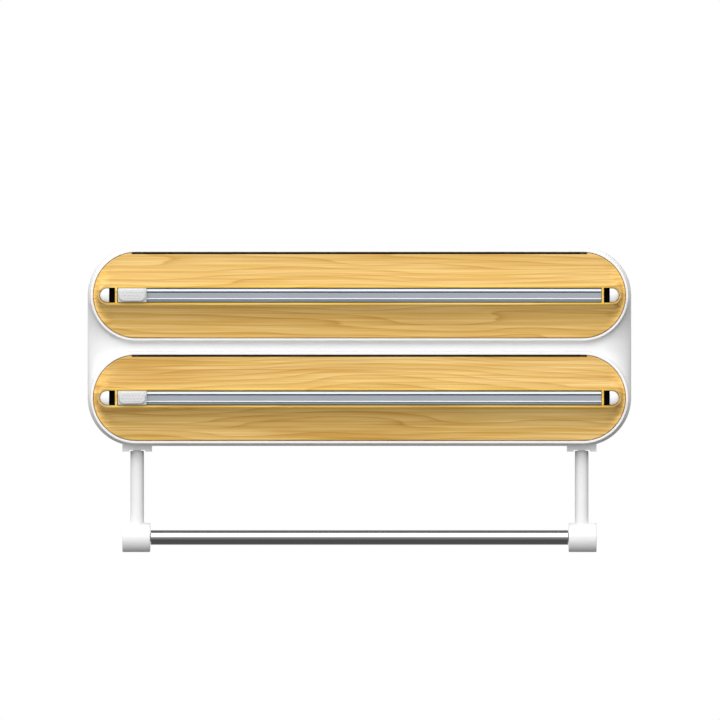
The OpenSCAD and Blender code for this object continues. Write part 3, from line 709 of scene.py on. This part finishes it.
def housing_half(bm, level):
    """One bay's half of the shell, up to the line between the bays."""
    base_r = pod_r + pod_draft
    rim, outer_wall = rim_profile(), side_profile()
    front, side, back = [], [], []
    for x0, dx, du in pod_rays():
        foot_x, foot_up = x0 + base_r * dx, bay_up + base_r * du
        length, outer = reach(foot_x, foot_up, dx, du)
        line = [wall(x0 + r * dx, level * (bay_up + r * du), out) for r, out in rim]
        for k in range(FRONT_STEPS + 1):
            s = length * (1 - math.cos(math.pi * k / FRONT_STEPS)) / 2
            x, up = foot_x + s * dx, foot_up + s * du
            line.append(wall(x, level * up, front_height(x, up, s)))
        front.append(line)
        x, up = foot_x + length * dx, foot_up + length * du
        if outer:
            in_x, in_up = inward(x, up)
            rows = [wall(x + in_x * d, level * (up + in_up * d), out) for d, out in outer_wall]
            side.append([line[-1], *rows])
            back.append((rows[-1], line[0]))
        else:
            side.append(None)
            back.append((wall(x, level * up, plate_t), line[0]))
    add_rings(bm, front + [front[0]], closed=False)
    add_rings(bm, back + [back[0]], closed=False)
    first = next(i for i in range(len(side)) if side[i] and not side[i - 1])
    add_rings(bm, list(takewhile(bool, side[first:] + side[:first])), closed=False)


def make_housing():
    """The white shell with its two rims and the valley between them."""
    bm = bmesh.new()
    for level in BAYS.values():
        housing_half(bm, level)
    bmesh.ops.remove_doubles(bm, verts=bm.verts, dist=MM * weld_gap)
    new_piece("housing_shell", bm, [white_plastic], "body", ["housing"], sharp=40)


def make_housing_inside():
    """Partitions, peg sockets and keeper blocks in the bays."""
    bore = peg_r + peg_play
    socket = [
        (peg_back - peg_room - peg_socket_floor, peg_socket_r), (bay_front - peg_socket_edge, peg_socket_r),
        (bay_front, peg_socket_r - peg_socket_edge), (bay_front, peg_r + peg_socket_edge),
        (bay_front - peg_socket_edge, bore), (peg_back - peg_room, bore),
    ]
    bm = bmesh.new()
    for level in BAYS.values():
        middle = level * bay_up
        for side in SIDES.values():
            ends = sorted((side * partition_in, side * (partition_in + partition_t)))
            low = (ends[0], middle - opening_r, plate_t)
            add_box(bm, low, (ends[1], middle + opening_r, bay_front), partition_round)
            for up in (-peg_up, peg_up):
                add_turned(bm, socket, (side * peg_x, middle + up, 0), "out", 32)
            ends = sorted((side * keeper_in, side * keeper_out))
            low = (ends[0], middle - keeper_half_h, keeper_back)
            add_box(bm, low, (ends[1], middle + keeper_half_h, keeper_front), keeper_round)
    new_piece("housing_inside", bm, [white_plastic], "body", ["housing"])


# Covers
def cove_out(t):
    """How far out a cover's front lies, from its outer edge, 0, to the nose, 1."""
    return rim_out + cove_rise * t ** cove_power


def cover_ring(t, inset, out, up0):
    """One ring of a cover: t runs from its outer edge, 0, to the nose, 1."""
    half_len = (run + cover_r + cover_fit - cover_edge) * (1 - t) + nose_end * t - inset
    r = (cover_r + cover_fit - cover_edge) * (1 - t) + nose_r * t - inset
    return [wall(x, up0 + up, out) for x, up in stadium(half_len, r)]


def cover_rings(up0):
    """Rings of a cover: the nose's front, down the cove, round the edge and up the inside to the core."""
    rings = []
    for a in quarter(LIP_STEPS):
        inset, drop = lip_round * (1 - math.sin(a)), lip_round * (1 - math.cos(a))
        rings.append(cover_ring(1, inset, lip_out - drop, up0))
    for k in range(1, COVE_STEPS + 1):
        rings.append(cover_ring(1 - k / COVE_STEPS, 0, cove_out(1 - k / COVE_STEPS), up0))
    for a in quarter(LIP_STEPS)[1:]:
        rings.append(cover_ring(0, -cover_edge * math.sin(a), rim_out - cover_edge * (1 - math.cos(a)), up0))
    rings.append(cover_ring(0, -cover_edge, cover_back, up0))
    rings.append(cover_ring(0, cover_wall - cover_edge, cover_back, up0))
    for k in range(INNER_STEPS + 1):
        t = k / INNER_STEPS * inner_share
        rings.append(cover_ring(t, cover_wall, cove_out(t) - cover_wall, up0))
    rings.append(cover_ring(1, core_margin, cove_out(inner_share) - cover_wall + core_rise, up0))
    rings.append(cover_ring(1, core_margin, core_back, up0))
    return rings


def cut(piece, name, fill):
    """Cuts a shape out of a piece and keeps the result as its mesh."""
    bm = bmesh.new()
    fill(bm)
    tool = new_piece(name, bm, [], None)
    modifier = piece.modifiers.new(name, "BOOLEAN")
    modifier.operation = "DIFFERENCE"
    modifier.solver = "MANIFOLD"
    modifier.object = tool
    bpy.context.view_layer.update()
    mesh = bpy.data.meshes.new_from_object(piece.evaluated_get(bpy.context.evaluated_depsgraph_get()))
    piece.modifiers.clear()
    piece.data = mesh
    bpy.data.objects.remove(tool)


def make_cover(bay, level):
    """A cover's wooden front, cut for the rail, the film, the latches and their slides."""
    up0 = level * bay_up
    bm = bmesh.new()
    add_rings(bm, cover_rings(up0), first_cap=True, last_cap=True)
    cover = new_piece(bay + "_cover_front", bm, [cover_wood[bay]], bay + "_cover_body", [bay + "_cover"])

    def rail_pocket_and_slot(tool):
        low = (-rail_pocket, up0 - channel_r, rail_seat)
        add_box(tool, low, (rail_pocket, up0 + channel_r, lip_out + cut_past))
        top = up0 + cover_r
        low = (-film_slot_half, top + cover_gap - film_slot_h, cover_back - cut_past)
        add_box(tool, low, (film_slot_half, top + cut_past, rim_out + cut_past))

    def latch_pockets(tool):
        arc = half_round(pocket_out - channel_r, channel_r, POCKET_STEPS)
        outline = [(pocket_in, -channel_r), *arc, (pocket_in, channel_r)]
        for side in SIDES.values():
            outs = (core_back - cut_past, lip_out + cut_past)
            rings = [[wall(side * x, up0 + up, out) for x, up in outline] for out in outs]
            add_rings(tool, rings, first_cap=True, last_cap=True)

    def slide_rooms(tool):
        for side in SIDES.values():
            ends = sorted((side * (slide_in - latch_travel - slide_play), side * slide_room_out))
            low = (ends[0], up0 - slide_room_half_h, slide_room_back)
            add_box(tool, low, (ends[1], up0 + slide_room_half_h, core_back))

    cut(cover, "rail_pocket", rail_pocket_and_slot)
    cut(cover, "latch_pockets", latch_pockets)
    cut(cover, "slide_rooms", slide_rooms)
    bm = bmesh.new()
    bm.from_mesh(cover.data)
    shade_smooth(bm, SHARP_DEGREES)
    bm.to_mesh(cover.data)
    bm.free()


def make_cover_back(bay, level):
    """Guide pegs, screw bosses and spring stops behind a cover."""
    up0 = level * bay_up
    peg = [(peg_back, peg_r - peg_tip_w), (peg_back + peg_tip_l, peg_r), (peg_root, peg_r)]
    boss = [(retainer_front, boss_r), (boss_root, boss_r)]
    stop_x = spring_low[0]
    bm = bmesh.new()
    for side in SIDES.values():
        for up in (-1, 1):
            add_turned(bm, peg, (side * peg_x, up0 + up * peg_up, 0), "out", 32)
            add_turned(bm, boss, (side * boss_x, up0 + up * boss_up, 0), "out", 32)
        ends = sorted((side * (stop_x - stop_t), side * stop_x))
        low = (ends[0], up0 - stop_half_h, retainer_front)
        add_box(bm, low, (ends[1], up0 + stop_half_h, stop_root), stop_round)
    new_piece(bay + "_cover_back", bm, [cover_wood[bay]], bay + "_cover_body", [bay + "_cover"])


# Cutter rail and slider
def rail_profile():
    """The rail's section: a lip over the blade slot with a painted highlight, a blue-grey face, a bead with
    a painted highlight over its foot, and painted shade in the slot, at its upper edge and on the faces
    under the bead.
    """
    profile = [(-rail_half_h, rail_seat, SHADE), (rail_half_h, rail_seat, SHADE)]
    profile += [(rail_half_h - inset, rail_lip - drop, material) for inset, drop, material in shoulder_steps]
    profile += [
        (blade_slot_high + rail_edge, rail_lip, HIGHLIGHT), (blade_slot_high, rail_lip - rail_edge, SHADE),
        (blade_slot_high, blade_room_ceiling, SHADE), (blade_room_high, blade_room_ceiling, SHADE),
        (blade_room_high, blade_room_floor, SHADE), (blade_room_low, blade_room_floor, SHADE),
        (blade_room_low, blade_room_ceiling, SHADE), (blade_slot_low, blade_room_ceiling, SHADE),
        (blade_slot_low, rail_face - rail_edge, SHADE), (blade_slot_low - rail_edge, rail_face, FACE),
    ]
    profile += [(up, rail_face + rise, material) for up, rise, material in bead_steps]
    profile += [
        (bead_foot_up, foot_out, SHADE), (-rail_half_h + foot_edge, foot_out, SHADE),
        (-rail_half_h, foot_out - foot_edge, SHADE),
    ]
    return profile


def make_rail(bay, level):
    """A rail in its blue-grey with a painted highlight and painted shade, along the whole channel."""
    up0 = level * bay_up
    profile = rail_profile()
    xs = [rail_low[0], rail_low[0] + rail_end_edge, 0, rail_high[0] - rail_end_edge, rail_high[0]]
    rings = [[wall(x, up0 + up, out) for up, out, _ in profile] for x in xs]
    bm = bmesh.new()
    add_rings(bm, rings, first_cap=True, last_cap=True, slot_of=lambda k, i: profile[i][2])
    materials = [rail_plastic, rail_highlight, rail_shade]
    new_piece(bay + "_rail", bm, materials, bay + "_cover_body", [bay + "_cutter_rail"],
              sharp=30)


def pad_outline(length, height, inset):
    """Thumb pad's outline (x, up): smaller corners above and larger ones below."""
    corners = [(1, -1, pad_foot_r), (1, 1, pad_top_r), (-1, 1, pad_top_r), (-1, -1, pad_foot_r)]
    points = []
    for n, (side, level, r) in enumerate(corners):
        for k in range(PAD_CORNER_STEPS + 1):
            a = math.pi / 2 * (n - 1 + k / PAD_CORNER_STEPS)
            x = side * (length / 2 - r) + (r - inset) * math.cos(a)
            points.append((x, level * (height / 2 - r) + (r - inset) * math.sin(a)))
    return points


def make_slider_plate(bay, up0, middle):
    """The slider's plate over the rail, with a keel in the blade slot."""
    half_h = (base_high[1] - base_low[1]) / 2
    keel = (base_high[0] - base_low[0]) * keel_share
    bm = bmesh.new()
    low = (base_low[0], up0 - half_h, rail_lip + slider_play)
    add_box(bm, low, (base_high[0], up0 + half_h, pad_low[2]), slider_round, 3)
    low = (middle - keel, up0 + blade_slot_low + keel_play, base_low[2])
    add_box(bm, low, (middle + keel, up0 + blade_slot_high - keel_play, rail_lip + keel_sink), keel_round, 1)
    new_piece(bay + "_slider_plate", bm, [slider_plastic], bay + "_slider", [bay + "_slider_base"])


def make_thumb_pad(bay, up0, middle):
    """The slider's thumb pad with rows of grip dots."""
    length, height = (pad_high[k] - pad_low[k] + 2 * pad_fit for k in (0, 1))
    top = pad_high[2]
    arcs = quarter(EDGE_STEPS)
    levels = [(0, pad_low[2])]
    levels += [(pad_edge * (1 - math.cos(a)), top - pad_edge * (1 - math.sin(a))) for a in arcs]
    rings = [[wall(middle + x, up0 + up, out) for x, up in pad_outline(length, height, inset)]
             for inset, out in levels]
    bm = bmesh.new()
    add_rings(bm, rings, first_cap=True, last_cap=True)
    dot = [(top - dot_sink, dot_r)]
    dot += [(top + dot_rise * math.sin(a), dot_r * math.cos(a)) for a in arcs[1:-1]]
    for row in range(-dot_row_reach, dot_row_reach + 1):
        for column in range(-dot_column_reach, dot_column_reach + 1):
            x = middle + column * dot_pitch + (dot_pitch / 2 if row else 0) - dot_pitch / 4
            if abs(x - middle) <= length / 2 - dot_margin:
                add_turned(bm, dot, (x, up0 + row * dot_pitch, 0), "out", 12)
    new_piece(bay + "_slider_thumb_pad", bm, [slider_plastic], bay + "_slider", [bay + "_slider_pad"])


def make_slider(bay, level):
    """The cutter that rides on a rail."""
    middle = (base_low[0] + base_high[0]) / 2
    make_slider_plate(bay, level * bay_up, middle)
    make_thumb_pad(bay, level * bay_up, middle)


# Latches
def make_latch(bay, level, side_name, side):
    """A latch's white cap: a half-round end that closes in a dome."""
    up0 = level * bay_up
    inner, outer = cap_low[0], cap_high[0]
    r = (cap_high[1] - cap_low[1]) / 2
    rise = cap_high[2] - dome_start
    levels = [(1.0, cap_low[2]), (1.0, dome_start)]
    for a in quarter(DOME_STEPS)[1:]:
        levels.append((max(dome_tip, math.cos(a)), dome_start + rise * math.sin(a)))
    rings = []
    for scale, out in levels:
        outline = half_round(outer - r, r * scale, CAP_STEPS) + [(inner, r * scale), (inner, -r * scale)]
        rings.append([wall(side * x, up0 + up, out) for x, up in outline])
    bm = bmesh.new()
    add_rings(bm, rings, first_cap=True, last_cap=True)
    new_piece(f"{bay}_latch_dome_{side_name}", bm, [white_plastic], f"{bay}_latch_{side_name}",
              [f"{bay}_latch_cap_{side_name}"], sharp=50)


def make_spring(bay, level, side_name, side):
    """Coil spring as one round wire from the stop to the slide."""
    up0 = level * bay_up
    r = (spring_high[1] - spring_low[1]) / 2 - spring_wire
    mid_out = (spring_low[2] + spring_high[2]) / 2
    free_length = spring_high[0] - spring_low[0]
    points = spring_turns * COIL_STEPS
    rings = []
    for i in range(points + 1):
        a = 2 * math.pi * i / COIL_STEPS
        x = spring_low[0] + spring_wire + (free_length - 2 * spring_wire) * i / points
        ring = []
        for k in range(WIRE_STEPS):
            b = 2 * math.pi * k / WIRE_STEPS
            wire_r = r + spring_wire * math.cos(b)
            wire_x = side * (x + spring_wire * math.sin(b))
            ring.append(wall(wire_x, up0 + wire_r * math.sin(a), mid_out + wire_r * math.cos(a)))
        rings.append(ring)
    bm = bmesh.new()
    add_rings(bm, rings, first_cap=True, last_cap=True)
    coil = new_piece(f"{bay}_latch_coil_{side_name}", bm, [spring_steel], bay + "_cover_body",
                     [f"{bay}_latch_spring_{side_name}"])
    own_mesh(coil)


# Arms and bar
def make_arm(side_name, side):
    """An arm: a socket for the bar's stub, a round post, and a neck and eye on the bracket's pin."""
    x0 = side * (arm_low[0] + arm_high[0]) / 2
    half_w = (arm_high[0] - arm_low[0]) / 2
    low, high = socket_shift - half_w, socket_shift + half_w
    hole_end = low + stub_hole_depth
    socket = [(hole_end, axis_r), (hole_end, stub_hole_r), (low, stub_hole_r)]
    socket += rounded(low, high, bar_up - arm_low[1], socket_round) + [(high, axis_r)]
    bm = bmesh.new()
    add_turned(bm, [(side * along, r) for along, r in socket], (x0, bar_up, bar_out), "x", 96)
    post = [(post_foot, post_r), (post_top - post_edge, post_r), (post_top, post_r - post_edge)]
    add_turned(bm, post, (x0, 0, bar_out), "up", 64)
    neck_reach = post_r - neck_inset
    neck_low = (x0 - eye_r, post_top - neck_sink, bar_out - neck_reach)
    add_box(bm, neck_low, (x0 + eye_r, pivot_up, bar_out + neck_reach), eye_round)
    eye = rounded(bar_out - post_r, bar_out + post_r, eye_r, eye_round)
    add_turned(bm, eye, (x0, pivot_up, 0), "out", 48)
    new_piece(f"arm_post_{side_name}", bm, [white_plastic], f"arm_{side_name}_body", [f"arm_{side_name}"],
              sharp=35)


def make_bar():
    """The polished tube with its open ends."""
    half = bar_high[0] + socket_shift
    bore = bar_r - bar_wall
    profile = [
        (-half, bore), (-half, bar_r - bar_rim), (-half + bar_rim, bar_r), (-half / 2, bar_r), (0, bar_r),
        (half / 2, bar_r), (half - bar_rim, bar_r), (half, bar_r - bar_rim), (half, bore),
    ]
    bm = bmesh.new()
    add_turned(bm, profile, (0, bar_up, bar_out), "x", 128, closed=True)
    new_piece("paper_bar_tube", bm, [bar_steel], "paper_bar_body", ["paper_bar"])


make_housing()
make_housing_inside()
for bay, level in BAYS.items():
    make_cover(bay, level)
    make_cover_back(bay, level)
    make_rail(bay, level)
    make_slider(bay, level)
    for side_name, side in SIDES.items():
        make_latch(bay, level, side_name, side)
        make_spring(bay, level, side_name, side)
for side_name, side in SIDES.items():
    make_arm(side_name, side)
make_bar()


# Stage, light and camera
def make_floor():
    """A plain pale disc, which no reflection or bounced light shows."""
    bm = bmesh.new()
    bmesh.ops.create_circle(bm, cap_ends=True, segments=96, radius=floor_r)
    material, shader = new_material("pale_floor", (0.93, 0.93, 0.93), 0.9)
    nodes = Nodes(material)
    broad = nodes.noise(nodes.stretched((1, 1, 1)), 3, detail=2)
    nodes.put(shader.inputs["Base Color"], nodes.drift(broad, (0.92, 0.92, 0.92), (0.94, 0.94, 0.94)))
    floor = new_piece("floor", bm, [material], None)
    floor.location.z = floor_z
    floor.visible_glossy = False
    floor.visible_diffuse = False


def make_world():
    """White to the camera; as light, one ramp of angles round the x axis, which fades towards the sides."""
    world = bpy.data.worlds.new("studio")
    bpy.context.scene.world = world
    world.use_nodes = True
    nodes = Nodes(world)
    world.node_tree.nodes.clear()
    direction = nodes.add("ShaderNodeTexCoord").outputs["Generated"]
    parts = nodes.add("ShaderNodeSeparateXYZ", {"Vector": direction}).outputs
    towards_front = nodes.math("MULTIPLY", parts["Y"], -1.0)
    turn = nodes.math("ARCTAN2", parts["Z"], towards_front)
    place = nodes.math("MULTIPLY_ADD", turn, 1 / (2 * math.pi), 0.5)
    grey = nodes.ramp(place, [((degrees + 180) / 360, (level,) * 3) for degrees, level in sky_levels])
    across = nodes.math("MULTIPLY", parts["X"], parts["X"])
    fall = nodes.math("MULTIPLY_ADD", across, sky_fall, 1.0)
    side = nodes.math("MULTIPLY_ADD", parts["X"], sky_lean, fall)
    strength = nodes.math("MULTIPLY", side, sky_strength)
    light = nodes.add("ShaderNodeBackground", {"Color": grey, "Strength": strength})
    backdrop = nodes.add("ShaderNodeBackground", {"Color": (1, 1, 1, 1), "Strength": 1.0})
    camera_ray = nodes.add("ShaderNodeLightPath").outputs["Is Camera Ray"]
    mix = nodes.add("ShaderNodeMixShader", {0: camera_ray, 1: light.outputs[0], 2: backdrop.outputs[0]})
    nodes.add("ShaderNodeOutputWorld", {"Surface": mix.outputs[0]})


def add_lamp(name, place, target, size, watts, in_reflections):
    """A soft rectangular lamp that looks at its target."""
    data = bpy.data.lights.new(name, "AREA")
    data.shape = "RECTANGLE"
    data.size, data.size_y = size
    data.energy = watts
    lamp = bpy.data.objects.new(name, data)
    lamp.location = place
    lamp.rotation_euler = (Vector(target) - Vector(place)).to_track_quat("-Z", "Y").to_euler()
    lamp.visible_glossy = in_reflections
    bpy.context.scene.collection.objects.link(lamp)


def make_camera():
    """A far camera square to the front, framed as the photo."""
    data = bpy.data.cameras.new("camera")
    frame_width = photo_px * px_mm * MM
    data.sensor_width = sensor_mm
    data.lens = data.sensor_width * camera_distance / frame_width
    data.clip_end = camera_clip
    camera = bpy.data.objects.new("camera", data)
    camera.location = wall(photo_centre_x, photo_centre_up, rim_out) + Vector((0, -camera_distance, 0))
    camera.rotation_euler = (math.pi / 2, 0, 0)
    bpy.context.scene.collection.objects.link(camera)
    bpy.context.scene.camera = camera


make_floor()
make_world()
for lamp in LAMPS:
    add_lamp(*lamp)
make_camera()
bpy.context.scene.view_settings.view_transform = "Standard"
